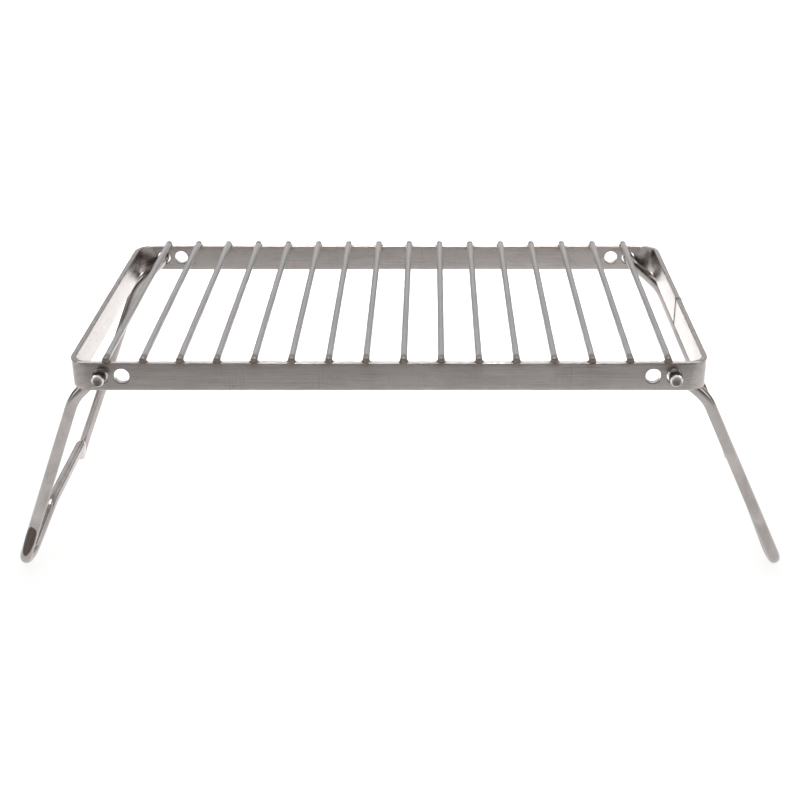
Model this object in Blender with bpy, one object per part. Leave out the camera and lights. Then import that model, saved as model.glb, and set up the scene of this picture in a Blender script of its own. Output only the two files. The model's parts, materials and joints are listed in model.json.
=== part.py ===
"""Folding camp grill in bare stainless steel.

A flat bar bent into a rounded rectangle carries a row of round rods on its top edge.
Two wire legs hang in holes near the corners and fold inward under the rods.

Units are metres, +Z is up and the ground is Z = 0. The long side lies along X and the
front is at -Y. X = 0 and Y = 0 are the middle of the whole outline with the legs open.
The grate sits a little to one side of it, because the two legs open to different angles.
"""

from math import atan2, cos, hypot, pi, radians, sin, tan

import bmesh
import bpy
from mathutils import Matrix, Vector

# Gap that meshes keep where the real pieces touch.
TOUCH_GAP = 0.0003

# Frame: one flat bar, bent round and butt-welded.
FRAME_WIDTH = 0.325
FRAME_DEPTH = 0.180
BAND_HEIGHT = 0.0154
BAND_THICKNESS = 0.003
BAND_CORNER_RADIUS = 0.011
BAND_EDGE_ROUND = 0.0008
BAND_TOP_Z = 0.1367
CORNER_SEGMENTS = 8
BAND_EDGE_SEGMENTS = 2
BAND_EDGE_ANGLE = radians(40.0)

# Rods, welded across the top edge and sunk slightly into it. Their gaps widen a little
# from left to right.
ROD_COUNT = 16
ROD_DIAMETER = 0.0035
ROD_PITCH = 0.0189
ROD_PITCH_GAIN = 0.00002
ROD_ROW_SHIFT = -0.0018
ROD_SINK = 0.0003
ROD_END_CHAMFER = 0.0004
ROD_SIDES = 16

# Holes through the front and back bars: a pivot and a spare one near each corner.
HOLE_DIAMETER = 0.0077
HOLE_DROP = 0.0071
HOLE_ROW_SHIFT = -0.0006
PIVOT_HOLE_X = 0.1453
SPARE_HOLE_X = 0.1345
HOLE_SIDES = 24
CUTTER_LENGTH = FRAME_DEPTH * 1.2

# Legs: one round wire each, bent into a bail.
WIRE_DIAMETER = 0.0064
WIRE_BEVEL_RESOLUTION = 4
PIN_REACH = 0.0063
PIN_TIP_CHAMFER = 0.0009
PIN_TIP_RADIUS_RATIO = 0.72
ARM_Y_AT_PIN = 0.0820
FOOT_Y = {"front": 0.0672, "back": 0.0692}
PIN_BEND_RADIUS = 0.0052
SHOULDER_BEND_RADIUS = 0.030
FOOT_BEND_RADIUS = {"front": 0.009, "back": 0.0068}
SHOULDER_REACH = {"left": 0.0181, "right": 0.0200}
LEG_SPLAY = {"left": radians(22.35), "right": radians(25.5)}

# Foot bar: its middle stands higher than the two corners that meet the ground, and on the
# left a little inside the plane of the arms. It comes down more steeply at the back.
FOOT_INSET = {"left": 0.0014, "right": 0.0012}
FOOT_BAR_RAISE = 0.020
FOOT_BAR_SET_IN = {"left": 0.0011, "right": 0.0}
JOGGLE_OUTER_Y = {"front": 0.054, "back": 0.0605}
JOGGLE_INNER_Y = {"front": 0.031, "back": 0.040}
JOGGLE_BEND_RADIUS = {"front": 0.010, "back": 0.006}

BEND_STEP = radians(11.0)
SHARP_ANGLE = radians(32.0)

STEEL = {
    "band": {"color": (0.52, 0.50, 0.49), "roughness": 0.34},
    "rod": {"color": (0.62, 0.61, 0.60), "roughness": 0.30},
    "leg": {"color": (0.60, 0.58, 0.57), "roughness": 0.24},
}

SIDES = {"left": -1.0, "right": 1.0}
ENDS = {"front": -1.0, "back": 1.0}
WIRE_RADIUS = WIRE_DIAMETER / 2
ROD_RADIUS = ROD_DIAMETER / 2
ROD_Z = BAND_TOP_Z + ROD_RADIUS - ROD_SINK
PIVOT_Z = BAND_TOP_Z - HOLE_DROP


def pivot_x(side):
    """Pivot axis, measured from the middle of the frame."""
    return HOLE_ROW_SHIFT + SIDES[side] * PIVOT_HOLE_X


def shoulder_drop(side):
    """Fall of the shoulder, which just clears the lower edge of the side bar."""
    inner_edge_x = FRAME_WIDTH / 2 - BAND_THICKNESS - abs(pivot_x(side))
    edge_drop = BAND_HEIGHT - HOLE_DROP
    clearance = WIRE_RADIUS + TOUCH_GAP
    edge_distance = hypot(inner_edge_x, edge_drop)
    half_angle = atan2(clearance, (edge_distance**2 - clearance**2) ** 0.5)
    return SHOULDER_REACH[side] * tan(atan2(edge_drop, inner_edge_x) + half_angle)


def foot_reach(side):
    """How far the foot corner stands outside the pivot."""
    arm_drop = PIVOT_Z - shoulder_drop(side) - WIRE_RADIUS
    return SHOULDER_REACH[side] + arm_drop * tan(LEG_SPLAY[side])


# Middle of the frame, with the outline of the open legs centred on X = 0.
FRAME_X = (foot_reach("left") - foot_reach("right")) / 2 - HOLE_ROW_SHIFT


def clear_scene():
    for existing in list(bpy.data.objects):
        bpy.data.objects.remove(existing, do_unlink=True)


def steel_material(name, finish):
    material = bpy.data.materials.new(name)
    material.use_nodes = True
    shader = material.node_tree.nodes["Principled BSDF"]
    shader.inputs["Base Color"].default_value = (*finish["color"], 1.0)
    shader.inputs["Metallic"].default_value = 1.0
    shader.inputs["Roughness"].default_value = finish["roughness"]
    return material


def add_object(name, data, location=(0.0, 0.0, 0.0), parent=None):
    new_object = bpy.data.objects.new(name, data)
    bpy.context.scene.collection.objects.link(new_object)
    new_object.parent = parent
    new_object.location = location
    return new_object


def rounded_rectangle(half_width, half_depth, radius):
    """Corner arcs of a rounded rectangle, counter-clockwise."""
    points = []
    centres = ((1, 1), (-1, 1), (-1, -1), (1, -1))
    for quarter, (sign_x, sign_y) in enumerate(centres):
        centre = Vector((sign_x * (half_width - radius), sign_y * (half_depth - radius), 0.0))
        for step in range(CORNER_SEGMENTS + 1):
            angle = (quarter + step / CORNER_SEGMENTS) * pi / 2
            points.append(centre + radius * Vector((cos(angle), sin(angle), 0.0)))
    return points


def edge_loop(mesh, points):
    vertices = [mesh.verts.new(point) for point in points]
    following = vertices[1:] + vertices[:1]
    return [mesh.edges.new(pair) for pair in zip(vertices, following)]


def band_mesh():
    """Flat ring between the outer and inner outlines, extruded to the bar's height."""
    outer = rounded_rectangle(FRAME_WIDTH / 2, FRAME_DEPTH / 2, BAND_CORNER_RADIUS)
    inner = rounded_rectangle(
        FRAME_WIDTH / 2 - BAND_THICKNESS,
        FRAME_DEPTH / 2 - BAND_THICKNESS,
        BAND_CORNER_RADIUS - BAND_THICKNESS,
    )
    mesh = bmesh.new()
    loops = edge_loop(mesh, outer) + edge_loop(mesh, inner)
    ring = bmesh.ops.bridge_loops(mesh, edges=loops)["faces"]
    raised = bmesh.ops.extrude_face_region(mesh, geom=ring)["geom"]
    raised_vertices = [item for item in raised if isinstance(item, bmesh.types.BMVert)]
    bmesh.ops.translate(mesh, verts=raised_vertices, vec=(0.0, 0.0, BAND_HEIGHT))
    bmesh.ops.recalc_face_normals(mesh, faces=mesh.faces)
    data = bpy.data.meshes.new("frame_band")
    mesh.to_mesh(data)
    mesh.free()
    return data


def add_bar_along_y(mesh, x, z, radius, length, sides):
    placement = Matrix.Translation((x, 0.0, z)) @ Matrix.Rotation(pi / 2, 4, "X")
    bmesh.ops.create_cone(
        mesh,
        cap_ends=True,
        segments=sides,
        radius1=radius,
        radius2=radius,
        depth=length,
        matrix=placement,
    )


def rod_offsets():
    steps = [index - (ROD_COUNT - 1) / 2 for index in range(ROD_COUNT)]
    return [ROD_ROW_SHIFT + step * (ROD_PITCH + step * ROD_PITCH_GAIN) for step in steps]


def band_cutter_mesh():
    """Drills for the leg holes, and one saddle for each rod across the top edge."""
    mesh = bmesh.new()
    hole_z = BAND_HEIGHT - HOLE_DROP
    saddle_z = BAND_HEIGHT + ROD_RADIUS - ROD_SINK
    saddle_radius = ROD_RADIUS + TOUCH_GAP
    for hole_x in (-PIVOT_HOLE_X, -SPARE_HOLE_X, SPARE_HOLE_X, PIVOT_HOLE_X):
        hole_x += HOLE_ROW_SHIFT
        add_bar_along_y(mesh, hole_x, hole_z, HOLE_DIAMETER / 2, CUTTER_LENGTH, HOLE_SIDES)
    for rod_x in rod_offsets():
        add_bar_along_y(mesh, rod_x, saddle_z, saddle_radius, CUTTER_LENGTH, ROD_SIDES)
    data = bpy.data.meshes.new("band_cutter")
    mesh.to_mesh(data)
    mesh.free()
    return data


def build_frame_band(parent):
    band = add_object("frame_band", band_mesh(), (0.0, 0.0, BAND_TOP_Z - BAND_HEIGHT), parent)
    band.data.materials.append(steel_material("band_steel", STEEL["band"]))
    band.data.shade_smooth()
    band.data.set_sharp_from_angle(angle=SHARP_ANGLE)

    cutter = add_object("band_cutter", band_cutter_mesh(), (0.0, 0.0, 0.0), band)
    cutter.hide_render = True
    cutter.display_type = "WIRE"

    rounding = band.modifiers.new("rounded_edges", "BEVEL")
    rounding.width = BAND_EDGE_ROUND
    rounding.segments = BAND_EDGE_SEGMENTS
    rounding.limit_method = "ANGLE"
    rounding.angle_limit = BAND_EDGE_ANGLE

    cut = band.modifiers.new("holes_and_saddles", "BOOLEAN")
    cut.operation = "DIFFERENCE"
    cut.solver = "EXACT"
    cut.object = cutter


def rod_mesh():
    mesh = bmesh.new()
    add_bar_along_y(mesh, 0.0, 0.0, ROD_RADIUS, FRAME_DEPTH, ROD_SIDES)
    rims = [edge for edge in mesh.edges if any(len(face.verts) > 4 for face in edge.link_faces)]
    bmesh.ops.bevel(mesh, geom=rims, offset=ROD_END_CHAMFER, segments=1, affect="EDGES")
    data = bpy.data.meshes.new("grate_rod")
    mesh.to_mesh(data)
    mesh.free()
    data.shade_smooth()
    data.set_sharp_from_angle(angle=SHARP_ANGLE)
    return data


def build_rods(parent):
    shared_mesh = rod_mesh()
    shared_mesh.materials.append(steel_material("rod_steel", STEEL["rod"]))
    for number, rod_x in enumerate(rod_offsets(), start=1):
        add_object(f"grate_rod_{number:02d}", shared_mesh, (rod_x, 0.0, ROD_Z), parent)


def fillet(before, corner, after, radius):
    """Arc that rounds the corner of a path, as a list of points."""
    incoming = (before - corner).normalized()
    outgoing = (after - corner).normalized()
    turn = pi - incoming.angle(outgoing)
    setback = radius * tan(turn / 2)
    centre = corner + (incoming + outgoing).normalized() * (radius / cos(turn / 2))
    start = corner + incoming * setback - centre
    axis = start.cross(corner + outgoing * setback - centre).normalized()
    steps = max(2, round(turn / BEND_STEP))
    return [
        centre + Matrix.Rotation(turn * step / steps, 3, axis) @ start
        for step in range(steps + 1)
    ]


def half_route_corners(side, end):
    """Corners of one leg's wire from a pin tip to its raised bar, seen from the hinge."""
    y_sign = ENDS[end]
    foot_x = SIDES[side] * foot_reach(side)
    foot_z = WIRE_RADIUS - PIVOT_Z
    shoulder_x = SIDES[side] * SHOULDER_REACH[side]
    shoulder_z = -shoulder_drop(side)
    shoulder_share = shoulder_z / foot_z
    shoulder_y = ARM_Y_AT_PIN + shoulder_share * (FOOT_Y[end] - ARM_Y_AT_PIN)
    inset_x = foot_x - SIDES[side] * FOOT_INSET[side]
    raised_in = FOOT_BAR_RAISE * sin(LEG_SPLAY[side]) + FOOT_BAR_SET_IN[side]
    raised_x = foot_x - SIDES[side] * raised_in
    raised_z = foot_z + FOOT_BAR_RAISE * cos(LEG_SPLAY[side])
    return [
        (Vector((0.0, y_sign * (FRAME_DEPTH / 2 + PIN_REACH), 0.0)), 0.0),
        (Vector((0.0, y_sign * ARM_Y_AT_PIN, 0.0)), PIN_BEND_RADIUS),
        (Vector((shoulder_x, y_sign * shoulder_y, shoulder_z)), SHOULDER_BEND_RADIUS),
        (Vector((foot_x, y_sign * FOOT_Y[end], foot_z)), FOOT_BEND_RADIUS[end]),
        (Vector((inset_x, y_sign * JOGGLE_OUTER_Y[end], foot_z)), JOGGLE_BEND_RADIUS[end]),
        (Vector((raised_x, y_sign * JOGGLE_INNER_Y[end], raised_z)), JOGGLE_BEND_RADIUS[end]),
    ]


def leg_route(side):
    """Centre line of one leg, from its front pin tip round to its back one."""
    corners = half_route_corners(side, "front") + half_route_corners(side, "back")[::-1]
    route = [corners[0][0]]
    for previous, current, following in zip(corners, corners[1:], corners[2:]):
        route += fillet(previous[0], current[0], following[0], current[1])
    route.append(corners[-1][0])
    return route


def leg_curve(side):
    """Round wire along the leg's route, with a chamfer at both pin tips."""
    route = leg_route(side)
    chamfer_step = Vector((0.0, PIN_TIP_CHAMFER, 0.0))
    route.insert(1, route[0] + chamfer_step)
    route.insert(-1, route[-1] - chamfer_step)
    data = bpy.data.curves.new(f"leg_{side}", "CURVE")
    data.dimensions = "3D"
    data.bevel_depth = WIRE_RADIUS
    data.bevel_resolution = WIRE_BEVEL_RESOLUTION
    data.use_fill_caps = True
    spline = data.splines.new("POLY")
    spline.points.add(len(route) - 1)
    for point, position in zip(spline.points, route):
        point.co = (*position, 1.0)
    spline.points[0].radius = PIN_TIP_RADIUS_RATIO
    spline.points[-1].radius = PIN_TIP_RADIUS_RATIO
    return data


def build_leg(side, frame_origin):
    """One wire leg on an empty that lies on the axis of its two pins."""
    hinge = add_object(f"{side}_leg_hinge", None, (pivot_x(side), 0.0, PIVOT_Z), frame_origin)
    leg = add_object(f"leg_{side}", leg_curve(side), (0.0, 0.0, 0.0), hinge)
    leg.data.materials.append(steel_material(f"leg_{side}_steel", STEEL["leg"]))


def build_grill():
    clear_scene()
    frame_origin = add_object("frame_origin", None, (FRAME_X, 0.0, 0.0))
    build_frame_band(frame_origin)
    build_rods(frame_origin)
    for side in SIDES:
        build_leg(side, frame_origin)


build_grill()
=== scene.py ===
"""Looks of the folding camp grill: brushed bar, drawn rods, wire legs and weld marks.

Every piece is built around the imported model. Sizes come from its nodes and joints where
they can, and from the named values below where they can't. Lengths are in metres and
angles in radians, unless a comment says otherwise.
"""

import json
from math import atan2, cos, hypot, pi, radians, sin, tan

import bmesh
import bpy
from mathutils import Matrix, Vector, noise


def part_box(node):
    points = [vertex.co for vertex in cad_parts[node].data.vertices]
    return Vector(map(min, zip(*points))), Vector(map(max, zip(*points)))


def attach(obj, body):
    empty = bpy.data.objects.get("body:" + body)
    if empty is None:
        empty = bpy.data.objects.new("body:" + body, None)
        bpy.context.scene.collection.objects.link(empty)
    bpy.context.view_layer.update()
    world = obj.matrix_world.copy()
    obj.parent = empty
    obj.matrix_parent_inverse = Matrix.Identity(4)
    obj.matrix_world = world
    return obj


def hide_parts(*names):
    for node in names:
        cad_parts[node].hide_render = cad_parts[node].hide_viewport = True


ROD_NODE_START = "grate_rod_"

# Bar of the frame.
BAR_THICKNESS = 0.003
BAR_CORNER_RADIUS = 0.011
BAR_CORNER_STEPS = 20
BAR_EDGE_ROUND = 0.00065
BAR_EDGE_STEPS = 4
BAR_RIM_ANGLE = radians(60.0)
BAR_SHARP_ANGLE = radians(33.0)
BAR_NORMAL_WEIGHT = 100
SAME_LEVEL = 1e-6
HOLE_DIAMETER = 0.0077
HOLE_RADIUS = HOLE_DIAMETER / 2
HOLE_SPACING = 0.0108
HOLE_STEPS = 48
HOLE_RIM = 0.0001

# Seam where the bar was closed, on its right side.
SEAM_Y = -0.001
SEAM_BEADS = 17
SEAM_BEAD_SIZE = Vector((0.00035, 0.00055, 0.0007))
SEAM_SEED_STEP = 1.7
SEAM_TOP_BEADS = 3
SEAM_TOP_PITCH = BAR_THICKNESS / 4
SEAM_TOP_SEED_STEP = 2.3

# Rods and the spot welds that hold them.
ROD_SIDES = 28
ROD_TIP_ROUND = 0.0009
ROD_TIP_STEPS = 5
ROD_WELD_SQUASH = 0.16
ROD_WELD_SPREAD = 0.55
ROD_WELD_LENGTH = 0.0042
ROD_WELD_STEPS = 8
BEAD_SIZE = Vector((0.0024, 0.0017, 0.0012))
BEAD_LIFT = 0.0001
BEAD_SUBDIVISIONS = 3
BEAD_LUMPS = 1.7
BEAD_SWELL = 0.22
BEAD_SEED_STEP = 3.1

# Wire of the legs.
WIRE_DIAMETER = 0.0064
WIRE_RADIUS = WIRE_DIAMETER / 2
WIRE_SIDES = 32
PIN_TIP_CHAMFER = 0.0005
PIN_TIP_RADIUS_RATIO = 0.86
PIN_DISH_RIM = 0.0009
PIN_DISH_DEPTH = 0.0003
ARM_Y_AT_PIN = 0.0820
FOOT_Y = {"front": 0.0672, "back": 0.0692}
PIN_BEND_RADIUS = 0.0052
SHOULDER_BEND_RADIUS = 0.030
FOOT_BEND_RADIUS = {"front": 0.009, "back": 0.0068}
JOGGLE_BEND_RADIUS = {"front": 0.010, "back": 0.006}
BEND_STEP = radians(4.0)
BEND_LEAST_STEPS = 4
SHOULDER_REACH = {"left": 0.0181, "right": 0.0200}
FOOT_INSET = {"left": 0.0014, "right": 0.0012}
FOOT_BAR_RAISE = 0.020
FOOT_BAR_SET_IN = {"left": 0.0011, "right": 0.0}
JOGGLE_OUTER_Y = {"front": 0.054, "back": 0.0605}
JOGGLE_INNER_Y = {"front": 0.031, "back": 0.040}
STOP_GAP = 0.0003
LEG_SHARP_ANGLE = radians(25.0)
ROUND_SHARP_ANGLE = radians(38.0)

# Dark oval mark low on the front of the left leg.
HEEL_HEIGHT = 0.0201
HEEL_LENGTH = 0.0243
HEEL_WIDTH = 0.0066
HEEL_SHIFT = 0.0004

# Patterns on the steel. "stretch" is per metre along the piece and across it, for patterns
# that lie along the steel; "scale" is per metre, for patterns that are even all round.
BAR_GRAIN = {
    "streaks": {"stretch": (18.0, 1500.0, 1.0), "detail": 5.0, "roughness": 0.7},
    "hair": {"stretch": (60.0, 5200.0, 1.0), "detail": 2.0},
    "chatter": {"stretch": (820.0, 30.0, 1.0), "detail": 3.0, "roughness": 0.6},
    "bands": {"stretch": (44.0, 9.0, 1.0), "detail": 2.0},
    "clouds": {"stretch": (26.0, 60.0, 1.0), "detail": 3.0, "distortion": 0.6},
    "smudge": {"scale": 62.0, "detail": 4.0, "distortion": 1.2},
}
ROD_GRAIN = {
    "lines": {"stretch": (22.0, 2600.0, 1.0), "detail": 4.0},
    "patches": {"stretch": (34.0, 90.0, 1.0), "detail": 3.0, "distortion": 0.5},
    "mottle": {"scale": 240.0, "detail": 4.0},
}
WELD_GRAIN = {
    "grain": {"scale": 900.0, "detail": 5.0},
    "tint": {"scale": 130.0, "detail": 3.0},
}
LEG_GRAIN = {
    "lines": {"stretch": (14.0, 1900.0, 1.0), "detail": 4.0},
    "smudge": {"scale": 46.0, "detail": 5.0, "distortion": 0.9},
    "specks": {"scale": 520.0, "detail": 3.0},
}

# Colours: a first one, then layers. A layer is a pattern, the ramp that it goes through and
# its colour. A ramp, here and in the levels and fades below, is its two ends and then the
# strength at each end, where those aren't 0 and 1.
BAR_TONE = (0.385, 0.352, 0.338)
BAR_BRUSHED_LAYERS = (
    ("clouds", (0.30, 0.72), (0.475, 0.440, 0.425)),
    ("streaks", (0.46, 0.70, 0.0, 0.45), (0.60, 0.565, 0.55)),
    ("streaks", (0.46, 0.28, 0.0, 0.45), (0.25, 0.225, 0.21)),
)
BAR_SMUDGE_LAYERS = (("smudge", (0.58, 0.76, 0.0, 0.35), (0.31, 0.28, 0.265)),)
ROD_TONE = (0.410, 0.398, 0.396)
ROD_LAYERS = (
    ("patches", (0.30, 0.72), (0.480, 0.467, 0.464)),
    ("mottle", (0.55, 0.75, 0.0, 0.25), (0.33, 0.32, 0.315)),
)
WELD_TONE = (0.19, 0.165, 0.145)
WELD_LAYERS = (
    ("tint", (0.38, 0.64), (0.28, 0.255, 0.245)),
    ("grain", (0.52, 0.74, 0.0, 0.55), (0.12, 0.105, 0.10)),
)
LEG_TONE = (0.338, 0.308, 0.297)
LEG_LAYERS = (
    ("smudge", (0.32, 0.70), (0.448, 0.416, 0.404)),
    ("lines", (0.40, 0.72, 0.0, 0.25), (0.52, 0.50, 0.49)),
    ("specks", (0.62, 0.80, 0.0, 0.40), (0.28, 0.25, 0.23)),
)

# Roughness: each pattern adds a part that goes with its level.
BAR_ROUGHNESS = (("clouds", (0.30, 0.72, 0.24, 0.33)), ("hair", (0.35, 0.70, -0.04, 0.05)))
ROD_ROUGHNESS = (("lines", (0.30, 0.70, 0.40, 0.52)),)
WELD_ROUGHNESS = (("grain", (0.30, 0.70, 0.46, 0.66)),)
LEG_ROUGHNESS = (("smudge", (0.30, 0.72, 0.13, 0.25)), ("lines", (0.35, 0.70, -0.02, 0.04)))
HEAT_ROUGHNESS = 0.15
HEEL_ROUGHNESS = 0.2
BAR_ANISOTROPY = 0.30

# Bumps: pattern, height of its relief and strength.
BAR_BUMPS = (
    ("streaks", 0.00008, 0.60),
    ("hair", 0.00002, 0.35),
    ("chatter", 0.00004, 0.35),
    ("clouds", 0.0006, 0.10),
)
ROD_BUMPS = (("lines", 0.00005, 0.50), ("mottle", 0.00004, 0.25))
WELD_BUMPS = (("grain", 0.00012, 0.8),)
LEG_BUMPS = (("lines", 0.00005, 0.40), ("smudge", 0.0004, 0.06))

# Cross lines that the rolling left in parts of the bar.
RIB_LEVELS = (0.50, 0.72)
RIB_BAND_LEVELS = (0.42, 0.62)
RIB_STRENGTH = 0.42
RIB_TONE = (0.24, 0.22, 0.21)

# Painted light and shade on the bar's tone, which changes slowly down its faces and from left to
# right:
# painted shade towards the top of the faces, painted light near their lower edge, painted shade to
# the left.
PAINTED_TOP_SHADE_FADE = (0.0, 0.013, 0.26, 0.0)
PAINTED_TOP_SHADE_TONE = (0.17, 0.150, 0.142)
PAINTED_LOWER_LIGHT_FADE = (0.0125, 0.0154, 0.0, 0.35)
PAINTED_LOWER_LIGHT_TONE = (0.66, 0.62, 0.60)
PAINTED_LEFT_SHADE_FADE = (-0.06, 0.09, 0.24, 0.0)
PAINTED_LEFT_SHADE_TONE = (0.20, 0.17, 0.155)

# Heat tint below each rod.
HEAT_REACH_ACROSS = 0.0036
HEAT_REACH_DOWN = 0.0024
HEAT_SMUDGE_LEVELS = (0.34, 0.60, 0.30, 0.95)
HEAT_ROW_MARGIN = 0.008
HEAT_ROW_FADE = 0.002
HEAT_TONE = (0.27, 0.215, 0.165)

# Holes: a painted highlight on the walls inside them, and a painted shadow along the lower half of
# each rim.
# Distances are outward from the hole's edge, and the shadow's reach below is in diameters below the
# hole's middle.
PAINTED_WALL_LIGHT_EDGE = 0.0001
PAINTED_WALL_LIGHT_TONE = (0.62, 0.60, 0.59)
RIM_SHADOW_STARTS = (0.0001, 0.0003)
RIM_SHADOW_ENDS = (0.0010, 0.0005)
RIM_SHADOW_BELOW = (0.2, 0.42)
RIM_SHADOW_STRENGTH = 0.80
RIM_SHADOW_TONE = (0.10, 0.085, 0.075)

# Painted highlight: a bright strip along the top of the front and back bars.
PAINTED_TOP_HIGHLIGHT_DEPTH = (0.0003, 0.0001)
PAINTED_TOP_HIGHLIGHT_STARTS = (0.0004, 0.0008)
PAINTED_TOP_HIGHLIGHT_ENDS = (0.0025, 0.0018)
PAINTED_TOP_HIGHLIGHT_TONE = (0.70, 0.68, 0.67)

# Rod ends, darkened by the welds.
ROD_END_RAGGED = (0.35, 0.65, -0.0008, 0.0008)
ROD_END_FADE = (0.0052, 0.0030, 0.0, 0.75)
ROD_END_TONE = (0.205, 0.178, 0.160)

# Pin ends: painted shade for a darker core and a painted highlight for a bright rim, by the distance
# from the pin's axis.
# They reach as far back from the tip as the depth given first below.
PIN_PAINTED_END_DEPTH = (0.0010, 0.0007)
PIN_CORE_SHADE_FADE = (0.0023, 0.0011, 0.0, 0.60)
PIN_CORE_SHADE_TONE = (0.13, 0.12, 0.11)
PIN_RIM_HIGHLIGHT_FADE = (0.0022, 0.0026, 0.0, 0.85)
PIN_RIM_HIGHLIGHT_TONE = (0.92, 0.91, 0.90)

# Dark oval mark: its ragged edge and its two tones.
HEEL_RAGGED = (0.3, 0.7, -0.06, 0.06)
HEEL_FADE = (1.0, 0.84)
HEEL_LINE_LEVELS = (0.35, 0.65)
HEEL_TONES = ((0.062, 0.05, 0.040), (0.125, 0.104, 0.088))

# Floor and room. Levels of the room go by the Y or Z part of the direction.
FLOOR_HALF_SIZE = 6.0
FLOOR_DROP = 0.0002
FLOOR_TONE = (0.90, 0.90, 0.90)
FLOOR_ROUGHNESS = 0.9
FLOOR_SPECULAR = 0.1
ROOM_TONE = (0.07, 0.065, 0.06)
BACKDROP_TONE = (1.0, 1.0, 1.0)
BACKDROP_FADE = (-0.30, 0.90)
HORIZON_TONE = (0.08, 0.07, 0.065)
HORIZON_MIDDLE = 0.06
HORIZON_FADE = (0.20, 0.06, 0.0, 0.85)
CEILING_TONE = (0.45, 0.45, 0.45)
CEILING_FADE = (0.40, 0.80)

# Two soft boxes that shine straight down, by their Y and power in watts.
BOXES = {"top_box": (0.64, 11.0), "back_box": (1.10, 16.0)}
BOX_HEIGHT = 0.8
BOX_SIZE = (2.4, 2.0)
BOX_SPREAD = radians(20.0)

# Two strips to the sides, which show only as highlights. The power is in watts.
STRIP_PLACE = Vector((1.1, -0.25, 0.75))
STRIP_TARGET = Vector((0.15, 0.0, 0.1))
STRIP_SIZE = (0.35, 1.4)
STRIP_POWER = 3.0
STRIP_SPREAD = radians(180.0)

# Camera: lens and sensor in millimetres, and its place from the middle of the bar's top.
CAMERA_LENS = 59.292
CAMERA_SENSOR = 36.0
CAMERA_PITCH = 0.4517
CAMERA_SHIFT_X = -0.04045
CAMERA_OFFSET = Vector((0.02212, -0.694851, 0.272842))
CAMERA_CLIP_START = 0.01

SIDES = {"left": -1.0, "right": 1.0}
ENDS = {"front": -1.0, "back": 1.0}


# ---------------------------------------------------------------- node helpers


class Nodes:
    """A node tree with short calls for the nodes that the materials use."""

    def __init__(self, tree):
        self.tree = tree

    def add(self, kind, **settings):
        node = self.tree.nodes.new(kind)
        for name, value in settings.items():
            setattr(node, name, value)
        return node

    def link(self, source, target):
        self.tree.links.new(source, target)

    def put(self, socket, value):
        """Links a socket, or sets a number, a vector or an opaque colour."""
        if isinstance(value, bpy.types.NodeSocket):
            self.link(value, socket)
        elif socket.type == "RGBA":
            socket.default_value = (*value, 1.0)
        else:
            socket.default_value = value

    def math(self, operation, first, second=0.0):
        node = self.add("ShaderNodeMath", operation=operation)
        self.put(node.inputs[0], first)
        self.put(node.inputs[1], second)
        return node.outputs[0]

    def plus(self, first, second):
        return self.math("ADD", first, second)

    def minus(self, first, second):
        return self.math("SUBTRACT", first, second)

    def times(self, first, second):
        return self.math("MULTIPLY", first, second)

    def squared(self, value):
        return self.math("POWER", self.math("ABSOLUTE", value), 2.0)

    def away(self, value, middle):
        """Distance of a value from a middle, on either side."""
        return self.math("ABSOLUTE", self.minus(value, middle))

    def vector(self, operation, first, second):
        node = self.add("ShaderNodeVectorMath", operation=operation)
        self.put(node.inputs[0], first)
        self.put(node.inputs[1], second)
        return node

    def position(self):
        return self.add("ShaderNodeTexCoord").outputs["Object"]

    def axes(self, vector):
        node = self.add("ShaderNodeSeparateXYZ")
        self.link(vector, node.inputs[0])
        return node.outputs

    def noise(self, vector, scale=1.0, detail=3.0, roughness=0.55, distortion=0.0):
        node = self.add("ShaderNodeTexNoise", noise_dimensions="3D")
        self.put(node.inputs["Vector"], vector)
        node.inputs["Scale"].default_value = scale
        node.inputs["Detail"].default_value = detail
        node.inputs["Roughness"].default_value = roughness
        node.inputs["Distortion"].default_value = distortion
        return node.outputs["Fac"]

    def ramp(self, factor, low, high, to_low=0.0, to_high=1.0, smooth=True):
        node = self.add("ShaderNodeMapRange")
        node.interpolation_type = "SMOOTHSTEP" if smooth else "LINEAR"
        self.put(node.inputs["Value"], factor)
        node.inputs["From Min"].default_value = low
        node.inputs["From Max"].default_value = high
        node.inputs["To Min"].default_value = to_low
        node.inputs["To Max"].default_value = to_high
        return node.outputs["Result"]

    def mix(self, factor, first, second):
        node = self.add("ShaderNodeMix", data_type="RGBA")
        self.put(node.inputs[0], factor)
        self.put(node.inputs[6], first)
        self.put(node.inputs[7], second)
        return node.outputs[2]

    def bump(self, height, distance, strength, normal):
        node = self.add("ShaderNodeBump")
        node.inputs["Strength"].default_value = strength
        node.inputs["Distance"].default_value = distance
        self.put(node.inputs["Height"], height)
        if normal is not None:
            self.link(normal, node.inputs["Normal"])
        return node.outputs["Normal"]


def steel(name):
    """A metal material, with its node helper and its Principled shader."""
    material = bpy.data.materials.new(name)
    material.use_nodes = True
    nodes = Nodes(material.node_tree)
    shader = material.node_tree.nodes["Principled BSDF"]
    shader.inputs["Metallic"].default_value = 1.0
    return material, nodes, shader


def steel_patterns(nodes, recipes):
    """The noise patterns of one kind of steel, by name."""
    patterns = {}
    for name, recipe in recipes.items():
        settings = {key: value for key, value in recipe.items() if key != "stretch"}
        if "stretch" in recipe:
            along = nodes.add("ShaderNodeUVMap", uv_map="along").outputs["UV"]
            source = nodes.vector("MULTIPLY", along, recipe["stretch"]).outputs[0]
        else:
            source = nodes.position()
        patterns[name] = nodes.noise(source, **settings)
    return patterns


def layered(nodes, tone, patterns, layers):
    """A tone with colour layers over it."""
    for pattern, levels, color in layers:
        tone = nodes.mix(nodes.ramp(patterns[pattern], *levels), tone, color)
    return tone


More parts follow.
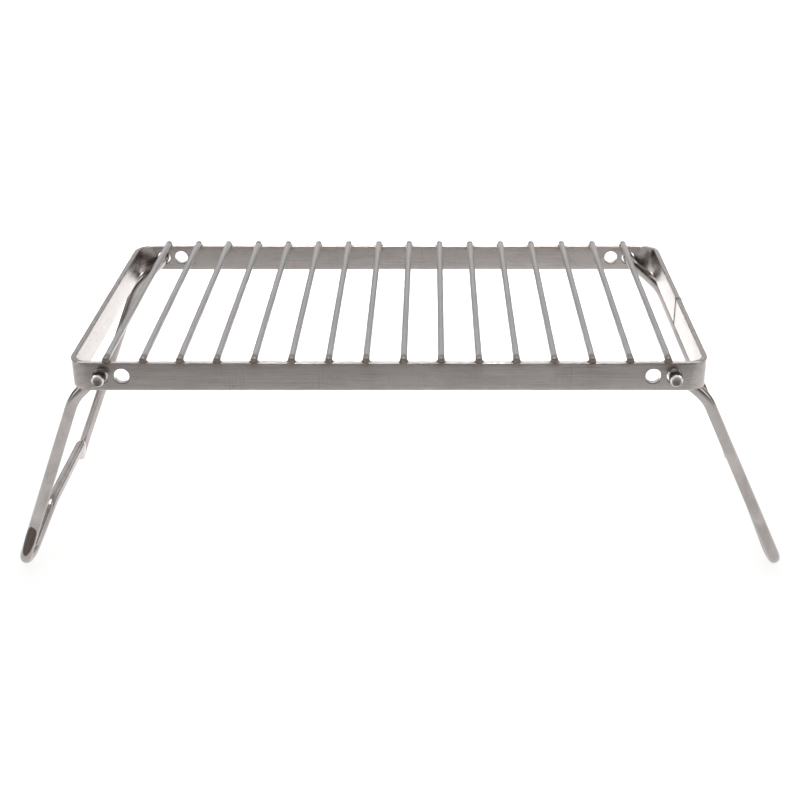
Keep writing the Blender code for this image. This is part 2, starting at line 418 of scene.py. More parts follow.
def summed(nodes, patterns, parts):
    """Sum of what each pattern gives."""
    total = None
    for pattern, levels in parts:
        share = nodes.ramp(patterns[pattern], *levels)
        total = share if total is None else nodes.plus(total, share)
    return total


def finish_steel(nodes, shader, patterns, tone, roughness, bumps):
    """Connects a tone, a roughness and a stack of bumps to the shader."""
    nodes.link(tone, shader.inputs["Base Color"])
    nodes.link(roughness, shader.inputs["Roughness"])
    normal = None
    for pattern, distance, strength in bumps:
        normal = nodes.bump(patterns[pattern], distance, strength, normal)
    nodes.link(normal, shader.inputs["Normal"])


def distance_to(nodes, place, x, z):
    """Distance of the shaded point from a line parallel to Y through (x, z)."""
    across = nodes.squared(nodes.minus(place["X"], x))
    up = nodes.squared(nodes.minus(place["Z"], z))
    return nodes.math("SQRT", nodes.plus(across, up))


def from_end_face(nodes, place, low, high):
    """Distance of the shaded point from the nearer of the front and back faces."""
    from_middle = nodes.away(place["Y"], (low.y + high.y) / 2)
    return nodes.minus((high.y - low.y) / 2, from_middle)


# ------------------------------------------------------------------- materials


def distance_to_rod(nodes, x, rods_x):
    """Distance across to the nearest rod, whose gaps widen evenly from left to right."""
    last = len(rods_x) - 1
    half_row = last / 2
    pitch = (rods_x[-1] - rods_x[0]) / last
    middle = (rods_x[last // 2] + rods_x[last - last // 2]) / 2
    gain = ((rods_x[0] + rods_x[-1]) / 2 - middle) / half_row**2
    steps = nodes.times(nodes.minus(x, middle), 1 / pitch)
    steps = nodes.minus(steps, nodes.times(nodes.squared(steps), gain / pitch))
    phase = nodes.math("FLOORED_MODULO", nodes.plus(steps, half_row + 0.5), 1.0)
    return nodes.times(nodes.away(phase, 0.5), pitch)


def heat_tint(nodes, place, depth, rods_x, smudge):
    """Share of heat tint, which fades away from each rod's weld and ends with the row."""
    from_rod = distance_to_rod(nodes, place["X"], rods_x)
    across = nodes.squared(nodes.times(from_rod, 1 / HEAT_REACH_ACROSS))
    down = nodes.squared(nodes.times(depth, 1 / HEAT_REACH_DOWN))
    tint = nodes.math("EXPONENT", nodes.times(nodes.plus(across, down), -1.0))
    tint = nodes.times(tint, nodes.ramp(smudge, *HEAT_SMUDGE_LEVELS))
    row_middle = (rods_x[0] + rods_x[-1]) / 2
    row_reach = (rods_x[-1] - rods_x[0]) / 2 + HEAT_ROW_MARGIN
    from_middle = nodes.away(place["X"], row_middle)
    return nodes.times(tint, nodes.ramp(from_middle, row_reach, row_reach - HEAT_ROW_FADE))


def brushed_tone(nodes, patterns):
    """Tone of the brushed bar, with its cross lines and smudges."""
    tone = layered(nodes, BAR_TONE, patterns, BAR_BRUSHED_LAYERS)
    ribs = nodes.ramp(patterns["chatter"], *RIB_LEVELS)
    ribs = nodes.times(ribs, nodes.ramp(patterns["bands"], *RIB_BAND_LEVELS))
    tone = nodes.mix(nodes.times(ribs, RIB_STRENGTH), tone, RIB_TONE)
    return layered(nodes, tone, patterns, BAR_SMUDGE_LAYERS)


def with_hole_light_and_shade(nodes, tone, place, holes, hole_z):
    """A tone with a painted highlight on the walls inside the holes and a painted shadow below each
    of them.
    """
    for hole_x in holes:
        distance = distance_to(nodes, place, hole_x, hole_z)
        # Painted highlight on the wall inside the hole.
        wall_light = nodes.ramp(distance, HOLE_RADIUS + PAINTED_WALL_LIGHT_EDGE, HOLE_RADIUS)
        tone = nodes.mix(wall_light, tone, PAINTED_WALL_LIGHT_TONE)
        # Painted shadow along the lower half of the rim.
        start = nodes.ramp(distance, *[HOLE_RADIUS + step for step in RIM_SHADOW_STARTS])
        end = nodes.ramp(distance, *[HOLE_RADIUS + step for step in RIM_SHADOW_ENDS])
        below = nodes.ramp(place["Z"], *[hole_z - HOLE_DIAMETER * share for share in RIM_SHADOW_BELOW])
        painted_rim = nodes.times(nodes.times(nodes.times(start, end), RIM_SHADOW_STRENGTH), below)
        tone = nodes.mix(painted_rim, tone, RIM_SHADOW_TONE)
    return tone


def painted_top_highlight(nodes, depth, from_face):
    """Share of the painted highlight along the top of the front and back bars."""
    strip = nodes.times(nodes.ramp(from_face, *PAINTED_TOP_HIGHLIGHT_STARTS), nodes.ramp(from_face, *PAINTED_TOP_HIGHLIGHT_ENDS))
    return nodes.times(nodes.ramp(depth, *PAINTED_TOP_HIGHLIGHT_DEPTH), strip)


def bar_material(rods_x, low, high, holes, hole_z):
    """Satin bar, brushed along its length, with heat tint at the rods, and painted light and shade:
    at the holes, along the top of the front and back bars, down the faces and towards the left.
    """
    material, nodes, shader = steel("bar_steel")
    patterns = steel_patterns(nodes, BAR_GRAIN)
    place = nodes.axes(nodes.position())
    depth = nodes.minus(high.z, place["Z"])
    tint = heat_tint(nodes, place, depth, rods_x, patterns["smudge"])

    tone = brushed_tone(nodes, patterns)
    # Painted shade towards the top of the faces, and painted light near their lower edge.
    tone = nodes.mix(nodes.ramp(depth, *PAINTED_TOP_SHADE_FADE, smooth=False), tone, PAINTED_TOP_SHADE_TONE)
    tone = nodes.mix(nodes.ramp(depth, *PAINTED_LOWER_LIGHT_FADE), tone, PAINTED_LOWER_LIGHT_TONE)
    tone = nodes.mix(tint, tone, HEAT_TONE)
    # Painted shade, darker towards the left.
    tone = nodes.mix(nodes.ramp(place["X"], *PAINTED_LEFT_SHADE_FADE), tone, PAINTED_LEFT_SHADE_TONE)
    # Painted highlights and shadows at the holes.
    tone = with_hole_light_and_shade(nodes, tone, place, holes, hole_z)
    # Painted highlight along the top of the front and back bars, kept off the heat tint.
    top_highlight = painted_top_highlight(nodes, depth, from_end_face(nodes, place, low, high))
    tone = nodes.mix(nodes.times(top_highlight, nodes.minus(1.0, tint)), tone, PAINTED_TOP_HIGHLIGHT_TONE)

    roughness = summed(nodes, patterns, BAR_ROUGHNESS)
    roughness = nodes.plus(roughness, nodes.times(tint, HEAT_ROUGHNESS))
    shader.inputs["Anisotropic"].default_value = BAR_ANISOTROPY
    finish_steel(nodes, shader, patterns, tone, roughness, BAR_BUMPS)
    return material


def rod_material(low, high):
    """Satin drawn rod with fine lengthwise lines, an even tone and ends darkened by the welds."""
    material, nodes, shader = steel("rod_steel")
    patterns = steel_patterns(nodes, ROD_GRAIN)
    tone = layered(nodes, ROD_TONE, patterns, ROD_LAYERS)
    from_end = from_end_face(nodes, nodes.axes(nodes.position()), low, high)
    ragged_end = nodes.plus(from_end, nodes.ramp(patterns["mottle"], *ROD_END_RAGGED))
    tone = nodes.mix(nodes.ramp(ragged_end, *ROD_END_FADE), tone, ROD_END_TONE)
    finish_steel(nodes, shader, patterns, tone, summed(nodes, patterns, ROD_ROUGHNESS), ROD_BUMPS)
    return material


def weld_material():
    """Spot-weld metal: dark, rough, tinted brown by the heat."""
    material, nodes, shader = steel("weld_steel")
    patterns = steel_patterns(nodes, WELD_GRAIN)
    tone = layered(nodes, WELD_TONE, patterns, WELD_LAYERS)
    finish_steel(nodes, shader, patterns, tone, summed(nodes, patterns, WELD_ROUGHNESS), WELD_BUMPS)
    return material


def heel_oval(nodes, position, lines, heel):
    """Share of the dark oval mark: an ellipsoid round its middle, with a ragged edge."""
    middle, arm_way = heel
    to_back = Vector((0.0, 1.0, 0.0))
    across_way = arm_way.cross(to_back)
    offset = nodes.vector("SUBTRACT", position, middle).outputs[0]
    half_axes = (
        (arm_way, HEEL_LENGTH / 2),
        (across_way, HEEL_WIDTH / 2),
        (to_back, WIRE_RADIUS),
    )
    ragged = nodes.ramp(lines, *HEEL_RAGGED)
    for way, reach in half_axes:
        share = nodes.vector("DOT_PRODUCT", offset, way / reach).outputs["Value"]
        ragged = nodes.plus(ragged, nodes.squared(share))
    return nodes.ramp(ragged, *HEEL_FADE)


def with_pin_end_light_and_shade(nodes, tone, place, pivots, tip_y):
    """A tone with a painted shade core and a painted highlight rim on the ends of the pins."""
    at_end = nodes.ramp(nodes.away(place["Y"], 0.0), *[tip_y - depth for depth in PIN_PAINTED_END_DEPTH])
    distances = [distance_to(nodes, place, pivot.x, pivot.z) for pivot in pivots.values()]
    from_axis = nodes.math("MINIMUM", *distances)
    # Painted shade in the middle of each pin end.
    core_shade = nodes.times(nodes.ramp(from_axis, *PIN_CORE_SHADE_FADE), at_end)
    tone = nodes.mix(core_shade, tone, PIN_CORE_SHADE_TONE)
    # Painted highlight round the rim of each pin end.
    painted_rim = nodes.times(nodes.ramp(from_axis, *PIN_RIM_HIGHLIGHT_FADE), at_end)
    return nodes.mix(painted_rim, tone, PIN_RIM_HIGHLIGHT_TONE)


def leg_material(heel, pivots, tip_y):
    """Half-gloss wire with drawing lines, smudges, painted shade and highlight on the pin ends, and
    one dark oval mark.
    """
    material, nodes, shader = steel("leg_steel")
    patterns = steel_patterns(nodes, LEG_GRAIN)
    position = nodes.position()
    mark = heel_oval(nodes, position, patterns["lines"], heel)
    mark_tone = nodes.mix(nodes.ramp(patterns["lines"], *HEEL_LINE_LEVELS), *HEEL_TONES)

    tone = layered(nodes, LEG_TONE, patterns, LEG_LAYERS)
    tone = nodes.mix(mark, tone, mark_tone)
    # Painted shade and highlight on the pin ends.
    tone = with_pin_end_light_and_shade(nodes, tone, nodes.axes(position), pivots, tip_y)

    roughness = summed(nodes, patterns, LEG_ROUGHNESS)
    roughness = nodes.plus(roughness, nodes.times(mark, HEEL_ROUGHNESS))
    finish_steel(nodes, shader, patterns, tone, roughness, LEG_BUMPS)
    return material


# --------------------------------------------------------------- mesh helpers


def new_piece(name, mesh, body, materials):
    """A piece in the scene, with its mesh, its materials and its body."""
    piece = bpy.data.objects.new(name, mesh)
    bpy.context.scene.collection.objects.link(piece)
    for material in materials:
        mesh.materials.append(material)
    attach(piece, body)
    return piece


def applied_mesh(source, name):
    """The mesh that an object's modifiers leave."""
    bpy.context.view_layer.update()
    evaluated = source.evaluated_get(bpy.context.evaluated_depsgraph_get())
    mesh = bpy.data.meshes.new_from_object(evaluated)
    mesh.name = name
    return mesh


def sweep(mesh, route, radii, sides):
    """Round section swept along a route, closed at both ends, with metres along as UV."""
    along = mesh.loops.layers.uv.verify()
    tangents = []
    for index in range(len(route)):
        ahead = route[min(index + 1, len(route) - 1)]
        behind = route[max(index - 1, 0)]
        tangents.append((ahead - behind).normalized())
    side_axis = tangents[0].orthogonal().normalized()
    rings = []
    travelled = [0.0]
    for index, centre in enumerate(route):
        if index:
            travelled.append(travelled[-1] + (centre - route[index - 1]).length)
            turn = tangents[index - 1].rotation_difference(tangents[index])
            side_axis = (turn @ side_axis).normalized()
        up_axis = tangents[index].cross(side_axis).normalized()
        ring = []
        for step in range(sides):
            angle = 2 * pi * step / sides
            offset = side_axis * cos(angle) + up_axis * sin(angle)
            ring.append(mesh.verts.new(centre + offset * radii[index]))
        rings.append(ring)
    girth = max(radii) * 2 * pi
    for index in range(len(rings) - 1):
        for step in range(sides):
            following = (step + 1) % sides
            corners = (
                (index, step, step),
                (index, following, step + 1),
                (index + 1, following, step + 1),
                (index + 1, step, step),
            )
            face = mesh.faces.new([rings[row][column] for row, column, _ in corners])
            face.smooth = True
            for loop, (row, _, lap) in zip(face.loops, corners):
                loop[along].uv = (travelled[row], girth * lap / sides)
    for ring, distance in ((rings[0], 0.0), (rings[-1], travelled[-1])):
        face = mesh.faces.new(ring if ring is rings[-1] else ring[::-1])
        for step, loop in enumerate(face.loops):
            loop[along].uv = (distance, girth * step / sides)


def finished(mesh, name, sharp_angle=ROUND_SHARP_ANGLE):
    """Turns a bmesh into mesh data with outward faces, a named UV map and sharp rims."""
    bmesh.ops.recalc_face_normals(mesh, faces=mesh.faces)
    data = bpy.data.meshes.new(name)
    mesh.to_mesh(data)
    mesh.free()
    data.uv_layers[0].name = "along"
    data.set_sharp_from_angle(angle=sharp_angle)
    return data


# -------------------------------------------------------------------- the bar


def rounded_rectangle(half_width, half_depth, radius, steps):
    """Corner arcs of a rounded rectangle, counter-clockwise."""
    points = []
    centres = ((1, 1), (-1, 1), (-1, -1), (1, -1))
    for quarter, (sign_x, sign_y) in enumerate(centres):
        centre = Vector((sign_x * (half_width - radius), sign_y * (half_depth - radius), 0.0))
        for step in range(steps + 1):
            angle = (quarter + step / steps) * pi / 2
            points.append(centre + radius * Vector((cos(angle), sin(angle), 0.0)))
    return points


def bar_ring(low, high):
    """The bent bar before its holes are drilled, with rounded edges."""
    centre = (low + high) / 2
    half = (high - low) / 2
    outer = rounded_rectangle(half.x, half.y, BAR_CORNER_RADIUS, BAR_CORNER_STEPS)
    inner = rounded_rectangle(
        half.x - BAR_THICKNESS,
        half.y - BAR_THICKNESS,
        BAR_CORNER_RADIUS - BAR_THICKNESS,
        BAR_CORNER_STEPS,
    )
    mesh = bmesh.new()
    loops = []
    for outline in (outer, inner):
        vertices = [mesh.verts.new(point + Vector((centre.x, centre.y, low.z))) for point in outline]
        loops += [mesh.edges.new(pair) for pair in zip(vertices, vertices[1:] + vertices[:1])]
    ring = bmesh.ops.bridge_loops(mesh, edges=loops)["faces"]
    raised = bmesh.ops.extrude_face_region(mesh, geom=ring)["geom"]
    moved = [item for item in raised if isinstance(item, bmesh.types.BMVert)]
    bmesh.ops.translate(mesh, verts=moved, vec=(0.0, 0.0, high.z - low.z))
    bmesh.ops.recalc_face_normals(mesh, faces=mesh.faces)
    rims = []
    for edge in mesh.edges:
        level = abs(edge.verts[0].co.z - edge.verts[1].co.z) < SAME_LEVEL
        turned = len(edge.link_faces) == 2 and edge.calc_face_angle() > BAR_RIM_ANGLE
        if level and turned:
            rims.append(edge)
    bmesh.ops.bevel(
        mesh,
        geom=rims,
        offset=BAR_EDGE_ROUND,
        segments=BAR_EDGE_STEPS,
        affect="EDGES",
        profile=0.5,
    )
    data = bpy.data.meshes.new("bar_ring")
    mesh.to_mesh(data)
    mesh.free()
    return data


def add_drill(mesh, x, y, z, outward):
    """One drill with a small countersink where it enters and leaves the bar."""
    half = BAR_THICKNESS / 2
    rim_radius = HOLE_RADIUS + 2 * HOLE_RIM
    turn = Matrix.Rotation(-outward * pi / 2, 4, "X")
    for centre, length, start_radius, end_radius in (
        (0.0, 4 * half, HOLE_RADIUS, HOLE_RADIUS),
        (half, 2 * HOLE_RIM, HOLE_RADIUS, rim_radius),
        (-half, 2 * HOLE_RIM, rim_radius, HOLE_RADIUS),
    ):
        shift = Matrix.Translation((x, y + outward * centre, z))
        bmesh.ops.create_cone(
            mesh,
            cap_ends=True,
            segments=HOLE_STEPS,
            radius1=start_radius,
            radius2=end_radius,
            depth=length,
            matrix=shift @ turn,
        )


def perimeter_place(point, centre, half):
    """Distance along the bar's length from the middle of the right side to a point."""
    straight_x = half.x - BAR_CORNER_RADIUS
    straight_y = half.y - BAR_CORNER_RADIUS
    x = point.x - centre.x
    y = point.y - centre.y
    arc = BAR_CORNER_RADIUS * pi / 2
    quarter = straight_y + arc + straight_x
    flip_x = x < 0
    flip_y = y < 0
    across_x = abs(x)
    across_y = abs(y)
    if across_x > straight_x and across_y > straight_y:
        angle = atan2(across_y - straight_y, across_x - straight_x)
        place = straight_y + BAR_CORNER_RADIUS * angle
    elif across_x > straight_x:
        place = across_y
    else:
        place = quarter - across_x
    if flip_x:
        place = 2 * quarter - place
    return -place if flip_y else place


def lay_bar_uv(data, centre, half):
    """UV in metres: along the bar, and up it plus the distance across its edge."""
    layer = data.uv_layers.get("along") or data.uv_layers.new(name="along")
    lap = 4 * (half.x + half.y)
    for polygon in data.polygons:
        middle = perimeter_place(polygon.center, centre, half)
        for loop_index in polygon.loop_indices:
            point = data.vertices[data.loops[loop_index].vertex_index].co
            place = perimeter_place(point, centre, half)
            if abs(place - middle) > lap / 4:
                place += lap if middle > place else -lap
            edge = min(
                abs(abs(point.x - centre.x) - half.x),
                abs(abs(point.y - centre.y) - half.y),
            )
            layer.data[loop_index].uv = (place, point.z + min(edge, BAR_THICKNESS))


def build_bar(pivots, pivot_z, material):
    """The bar of the frame: rounded ring, drilled holes, with weighted normals."""
    low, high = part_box("frame_band")
    centre = (low + high) / 2
    half = (high - low) / 2
    ring = bpy.data.objects.new("bar_blank", bar_ring(low, high))
    bpy.context.scene.collection.objects.link(ring)

    drills = bmesh.new()
    for side, sign in SIDES.items():
        for hole_x in (pivots[side].x, pivots[side].x - sign * HOLE_SPACING):
            for outward in ENDS.values():
                middle_y = centre.y + outward * (half.y - BAR_THICKNESS / 2)
                add_drill(drills, hole_x, middle_y, pivot_z, outward)
    drill_data = bpy.data.meshes.new("drills")
    drills.to_mesh(drill_data)
    drills.free()
    drill_object = bpy.data.objects.new("bar_drills", drill_data)
    bpy.context.scene.collection.objects.link(drill_object)

    cut = ring.modifiers.new("holes", "BOOLEAN")
    cut.operation = "DIFFERENCE"
    cut.solver = "EXACT"
    cut.use_self = True
    cut.object = drill_object
    data = applied_mesh(ring, "bar")
    for scratch in (ring, drill_object):
        bpy.data.objects.remove(scratch, do_unlink=True)

    lay_bar_uv(data, centre, half)
    data.shade_smooth()
    data.set_sharp_from_angle(angle=BAR_SHARP_ANGLE)
    piece = new_piece("bar", data, "frame", [material])
    weighting = piece.modifiers.new("even_normals", "WEIGHTED_NORMAL")
    weighting.keep_sharp = True
    weighting.weight = BAR_NORMAL_WEIGHT
    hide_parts("frame_band")


# ------------------------------------------------------------------- the rods


def rod_route(low, high):
    """Centre line of a rod and its radii, with rounded tips."""
    radius = (high.x - low.x) / 2
    centre = (low + high) / 2
    places = []
    for step in range(ROD_TIP_STEPS + 1):
        angle = step / ROD_TIP_STEPS * pi / 2
        inset = ROD_TIP_ROUND * (1 - sin(angle))
        places.append((inset, radius - ROD_TIP_ROUND * (1 - cos(angle))))
    places.sort()
    for step in range(1, ROD_WELD_STEPS + 1):
        places.append((ROD_TIP_ROUND + step / ROD_WELD_STEPS * ROD_WELD_LENGTH, radius))
    near = [(low.y + inset, size) for inset, size in places]
    far = [(high.y - inset, size) for inset, size in reversed(places)]
    route = [Vector((centre.x, y, centre.z)) for y, _ in near + far]
    return route, [size for _, size in near + far]


def squash_at_welds(mesh, low, high):
    """Rods are pressed into the bar at their ends: a little wider and lower there."""
    centre_x = (low.x + high.x) / 2
    for vertex in mesh.verts:
        end_distance = min(vertex.co.y - low.y, high.y - vertex.co.y)
        share = max(0.0, 1.0 - end_distance / ROD_WELD_LENGTH)
        press = ROD_WELD_SQUASH * share * share * (3 - 2 * share)
        vertex.co.x = centre_x + (vertex.co.x - centre_x) * (1 + press * ROD_WELD_SPREAD)
        vertex.co.z -= max(0.0, vertex.co.z - (low.z + high.z) / 2) * press


def build_rods(rods, material):
    """One piece for each rod of the grate."""
    for name in rods:
        low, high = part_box(name)
        mesh = bmesh.new()
        route, radii = rod_route(low, high)
        sweep(mesh, route, radii, ROD_SIDES)
        squash_at_welds(mesh, low, high)
        piece_name = "rod_" + name.removeprefix(ROD_NODE_START)
        piece = new_piece(piece_name, finished(mesh, piece_name), "frame", [material])
        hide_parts(name)


def add_bead(mesh, centre, size, seed):
    """A small uneven drop of weld metal."""
    made = bmesh.ops.create_icosphere(mesh, subdivisions=BEAD_SUBDIVISIONS, radius=1.0)
    for vertex in made["verts"]:
        lump = noise.noise(vertex.co * BEAD_LUMPS + Vector((seed, 0.0, 0.0)))
        swell = 1.0 + BEAD_SWELL * lump
        vertex.co = centre + Vector(
            [axis * length * swell for axis, length in zip(vertex.co, size)]
        )
    for face in mesh.faces:
        face.smooth = True


def add_seam(mesh, low, high):
    """Small drops up both faces, and from the inner one half over the top, closing the bar."""
    faces = (high.x - BAR_THICKNESS, high.x)
    for step in range(SEAM_BEADS):
        z = low.z + (step + 0.5) / SEAM_BEADS * (high.z - low.z)
        for number, x in enumerate(faces):
            add_bead(mesh, Vector((x, SEAM_Y, z)), SEAM_BEAD_SIZE, step * SEAM_SEED_STEP + number)
    for step in range(SEAM_TOP_BEADS):
        x = faces[0] + step * SEAM_TOP_PITCH
        add_bead(mesh, Vector((x, SEAM_Y, high.z)), SEAM_BEAD_SIZE.zyx, step * SEAM_TOP_SEED_STEP)


def build_welds(rods, material):
    """Drops of metal where each rod crosses the bar, and the seam that closes the bar."""
    bar_low, bar_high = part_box("frame_band")
    bar_middle_y = (bar_low.y + bar_high.y) / 2
    bar_reach_y = (bar_high.y - bar_low.y - BAR_THICKNESS) / 2
    mesh = bmesh.new()
    mesh.loops.layers.uv.verify()
    for index, name in enumerate(rods):
        low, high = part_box(name)
        for sign in ENDS.values():
            y = bar_middle_y + sign * bar_reach_y
            centre = Vector(((low.x + high.x) / 2, y, bar_high.z + BEAD_LIFT))
            add_bead(mesh, centre, BEAD_SIZE, index * BEAD_SEED_STEP + sign)
    add_seam(mesh, bar_low, bar_high)
    new_piece("rod_welds", finished(mesh, "rod_welds"), "frame", [material])


# ------------------------------------------------------------------- the legs


def shoulder_drop(side, pivot):
    """Fall of the shoulder, which just clears the lower edge of the side bar."""
    low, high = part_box("frame_band")
    edge_x = high.x - BAR_THICKNESS if side == "right" else low.x + BAR_THICKNESS
    across = abs(edge_x - pivot.x)
    drop = pivot.z - low.z
    clearance = WIRE_RADIUS + STOP_GAP
    distance = hypot(across, drop)
    half_angle = atan2(clearance, (distance**2 - clearance**2) ** 0.5)
    return SHOULDER_REACH[side] * tan(atan2(drop, across) + half_angle)


def fillet(before, corner, after, radius):
    """Arc that rounds the corner of a path, as a list of points."""
    incoming = (before - corner).normalized()
    outgoing = (after - corner).normalized()
    turn = pi - incoming.angle(outgoing)
    setback = radius * tan(turn / 2)
    centre = corner + (incoming + outgoing).normalized() * (radius / cos(turn / 2))
    start = corner + incoming * setback - centre
    axis = start.cross(corner + outgoing * setback - centre).normalized()
    steps = max(BEND_LEAST_STEPS, round(turn / BEND_STEP))
    return [
        centre + Matrix.Rotation(turn * step / steps, 3, axis) @ start
        for step in range(steps + 1)
    ]


def leg_corners(side, end, pivot):
    """Corners of one half of a leg's wire with their bend radii, from pin tip to foot bar."""
    low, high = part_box(f"leg_{side}")
    sign = SIDES[side]
    y_sign = ENDS[end]
    foot_x = high.x - WIRE_RADIUS if side == "right" else low.x + WIRE_RADIUS
    foot_z = WIRE_RADIUS
    shoulder_x = pivot.x + sign * SHOULDER_REACH[side]
    shoulder_z = pivot.z - shoulder_drop(side, pivot)
    share = (pivot.z - shoulder_z) / (pivot.z - foot_z)
    shoulder_y = ARM_Y_AT_PIN + share * (FOOT_Y[end] - ARM_Y_AT_PIN)
    splay = atan2(abs(foot_x - shoulder_x), shoulder_z - foot_z)
    inset_x = foot_x - sign * FOOT_INSET[side]
    raised_in = FOOT_BAR_RAISE * sin(splay) + FOOT_BAR_SET_IN[side]
    raised_x = foot_x - sign * raised_in
    raised_z = foot_z + FOOT_BAR_RAISE * cos(splay)
    return [
        (Vector((pivot.x, y_sign * high.y, pivot.z)), 0.0),
        (Vector((pivot.x, y_sign * ARM_Y_AT_PIN, pivot.z)), PIN_BEND_RADIUS),
        (Vector((shoulder_x, y_sign * shoulder_y, shoulder_z)), SHOULDER_BEND_RADIUS),
        (Vector((foot_x, y_sign * FOOT_Y[end], foot_z)), FOOT_BEND_RADIUS[end]),
        (Vector((inset_x, y_sign * JOGGLE_OUTER_Y[end], foot_z)), JOGGLE_BEND_RADIUS[end]),
        (Vector((raised_x, y_sign * JOGGLE_INNER_Y[end], raised_z)), JOGGLE_BEND_RADIUS[end]),
    ]


def heel_mark(pivot):
    """Middle and direction of the dark mark low on the front of the left leg's front arm."""
    shoulder, foot = [corner for corner, _ in leg_corners("left", "front", pivot)[2:4]]
    on_arm = foot.lerp(shoulder, (HEEL_HEIGHT - foot.z) / (shoulder.z - foot.z))
    return on_arm - Vector((HEEL_SHIFT, WIRE_RADIUS, 0.0)), (shoulder - foot).normalized()


def build_leg(side, pivot, material):
    """One bent wire with chamfered pin tips, whose ends are dished."""
    corners = leg_corners(side, "front", pivot) + leg_corners(side, "back", pivot)[::-1]
    tip_step = Vector((0.0, PIN_TIP_CHAMFER, 0.0))
    route = [corners[0][0], corners[0][0] + tip_step]
    for previous, current, following in zip(corners, corners[1:], corners[2:]):
        route += fillet(previous[0], current[0], following[0], current[1])
    route += [corners[-1][0] - tip_step, corners[-1][0]]
    radii = [WIRE_RADIUS] * len(route)
    radii[0] = WIRE_RADIUS * PIN_TIP_RADIUS_RATIO
    radii[-1] = radii[0]
    mesh = bmesh.new()
    sweep(mesh, route, radii, WIRE_SIDES)
    bmesh.ops.recalc_face_normals(mesh, faces=mesh.faces)
    tips = [face for face in mesh.faces if len(face.verts) == WIRE_SIDES]
    bmesh.ops.inset_individual(mesh, faces=tips, thickness=PIN_DISH_RIM, depth=-PIN_DISH_DEPTH)
    name = f"leg_wire_{side}"
    data = finished(mesh, name, LEG_SHARP_ANGLE)
    piece = new_piece(name, data, f"{side}_leg", [material])
    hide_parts(f"leg_{side}")


# --------------------------------------------------------------------- studio


def build_floor():
    """Plain pale floor under the grill."""
    mesh = bmesh.new()
    bmesh.ops.create_grid(mesh, x_segments=1, y_segments=1, size=FLOOR_HALF_SIZE)
    data = bpy.data.meshes.new("floor")
    mesh.to_mesh(data)
    mesh.free()
    material = bpy.data.materials.new("floor_white")
    material.use_nodes = True
    shader = material.node_tree.nodes["Principled BSDF"]
    shader.inputs["Base Color"].default_value = (*FLOOR_TONE, 1.0)
    shader.inputs["Roughness"].default_value = FLOOR_ROUGHNESS
    shader.inputs["Specular IOR Level"].default_value = FLOOR_SPECULAR
    data.materials.append(material)
    floor = bpy.data.objects.new("floor", data)
    bpy.context.scene.collection.objects.link(floor)
    floor.location.z = -FLOOR_DROP


def build_world():
    """Soft studio: bright behind the grill with a dark horizon, dim in front of it."""
    world = bpy.data.worlds.new("studio")
    bpy.context.scene.world = world
    world.use_nodes = True
    nodes = Nodes(world.node_tree)
    background = world.node_tree.nodes["Background"]
    direction = nodes.axes(nodes.add("ShaderNodeTexCoord").outputs["Generated"])
    level = nodes.mix(nodes.ramp(direction["Y"], *BACKDROP_FADE), ROOM_TONE, BACKDROP_TONE)
    from_horizon = nodes.away(direction["Z"], HORIZON_MIDDLE)
    level = nodes.mix(nodes.ramp(from_horizon, *HORIZON_FADE), level, HORIZON_TONE)
    level = nodes.mix(nodes.ramp(direction["Z"], *CEILING_FADE), level, CEILING_TONE)
    nodes.link(level, background.inputs["Color"])


def add_softbox(name, location, target, size, power, spread, shines_on_floor):
    """An area light that the camera doesn't see: either plain light or highlights only."""
    data = bpy.data.lights.new(name, "AREA")
    data.shape = "RECTANGLE"
    data.size = size[0]
    data.size_y = size[1]
    data.energy = power
    data.spread = spread
    data.use_shadow = not shines_on_floor
    light = bpy.data.objects.new(name, data)
    bpy.context.scene.collection.objects.link(light)
    light.location = location
    light.rotation_euler = (target - location).to_track_quat("-Z", "Y").to_euler()
    light.visible_camera = False
    light.visible_diffuse = shines_on_floor


def build_lights():
    """Two boxes above and behind the grill, and a strip on either side."""
    for name, (box_y, power) in BOXES.items():
        place = Vector((0.0, box_y, BOX_HEIGHT))
        below = Vector((0.0, box_y, 0.0))
        add_softbox(name, place, below, BOX_SIZE, power, BOX_SPREAD, True)
    for sign in SIDES.values():
        flip = Vector((sign, 1.0, 1.0))
        place = STRIP_PLACE * flip
        target = STRIP_TARGET * flip
        add_softbox("strip", place, target, STRIP_SIZE, STRIP_POWER, STRIP_SPREAD, False)


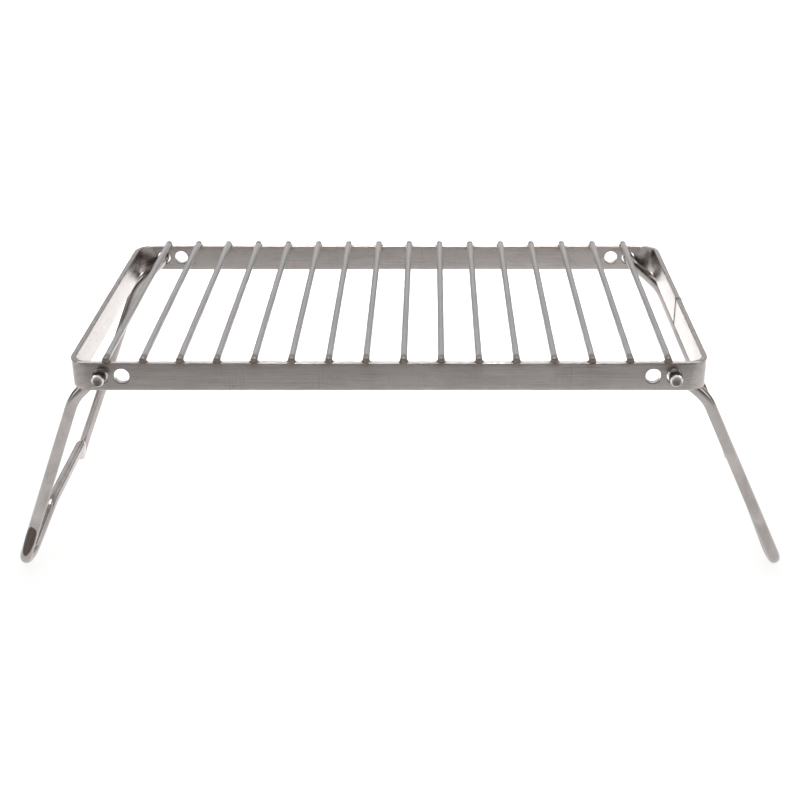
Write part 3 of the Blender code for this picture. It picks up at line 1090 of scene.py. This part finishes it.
def build_camera(centre_x, top_z):
    """The camera, placed from the middle of the bar and its top."""
    data = bpy.data.cameras.new("camera")
    data.lens = CAMERA_LENS
    data.sensor_width = CAMERA_SENSOR
    data.sensor_fit = "HORIZONTAL"
    data.shift_x = CAMERA_SHIFT_X
    data.clip_start = CAMERA_CLIP_START
    camera = bpy.data.objects.new("camera", data)
    bpy.context.scene.collection.objects.link(camera)
    camera.location = CAMERA_OFFSET + Vector((centre_x, 0.0, top_z))
    camera.rotation_euler = (pi / 2 - CAMERA_PITCH, 0.0, 0.0)
    bpy.context.scene.camera = camera


# ----------------------------------------------------------------------- build


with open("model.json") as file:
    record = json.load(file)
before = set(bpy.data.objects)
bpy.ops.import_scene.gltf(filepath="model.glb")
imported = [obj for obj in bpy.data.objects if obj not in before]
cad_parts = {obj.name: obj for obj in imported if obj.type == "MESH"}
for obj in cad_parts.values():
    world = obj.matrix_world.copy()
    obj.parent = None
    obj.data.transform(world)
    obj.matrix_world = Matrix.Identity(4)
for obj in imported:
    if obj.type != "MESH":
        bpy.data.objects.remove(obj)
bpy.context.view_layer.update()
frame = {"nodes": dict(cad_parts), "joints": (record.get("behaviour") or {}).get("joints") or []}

pivot_points = {}
for joint in frame["joints"]:
    pivot_points[joint["name"].split("_")[0]] = Vector(joint["pos_m"])
pivot_height = pivot_points["left"].z
hole_xs = []
for leg_side, side_sign in SIDES.items():
    hole_xs += [pivot_points[leg_side].x, pivot_points[leg_side].x - side_sign * HOLE_SPACING]

band_low, band_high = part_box("frame_band")
rod_names = sorted(name for name in frame["nodes"] if name.startswith(ROD_NODE_START))
rod_boxes = [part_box(name) for name in rod_names]
rod_xs = [(low.x + high.x) / 2 for low, high in rod_boxes]
band_steel = bar_material(rod_xs, band_low, band_high, hole_xs, pivot_height)
build_bar(pivot_points, pivot_height, band_steel)
build_rods(rod_names, rod_material(band_low, band_high))
build_welds(rod_names, weld_material())

pin_tip_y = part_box("leg_left")[1].y
leg_steel = leg_material(heel_mark(pivot_points["left"]), pivot_points, pin_tip_y)
for leg_side in SIDES:
    build_leg(leg_side, pivot_points[leg_side], leg_steel)

build_floor()
build_world()
build_lights()
build_camera((band_low.x + band_high.x) / 2, band_high.z)
bpy.context.scene.view_settings.view_transform = "Standard"
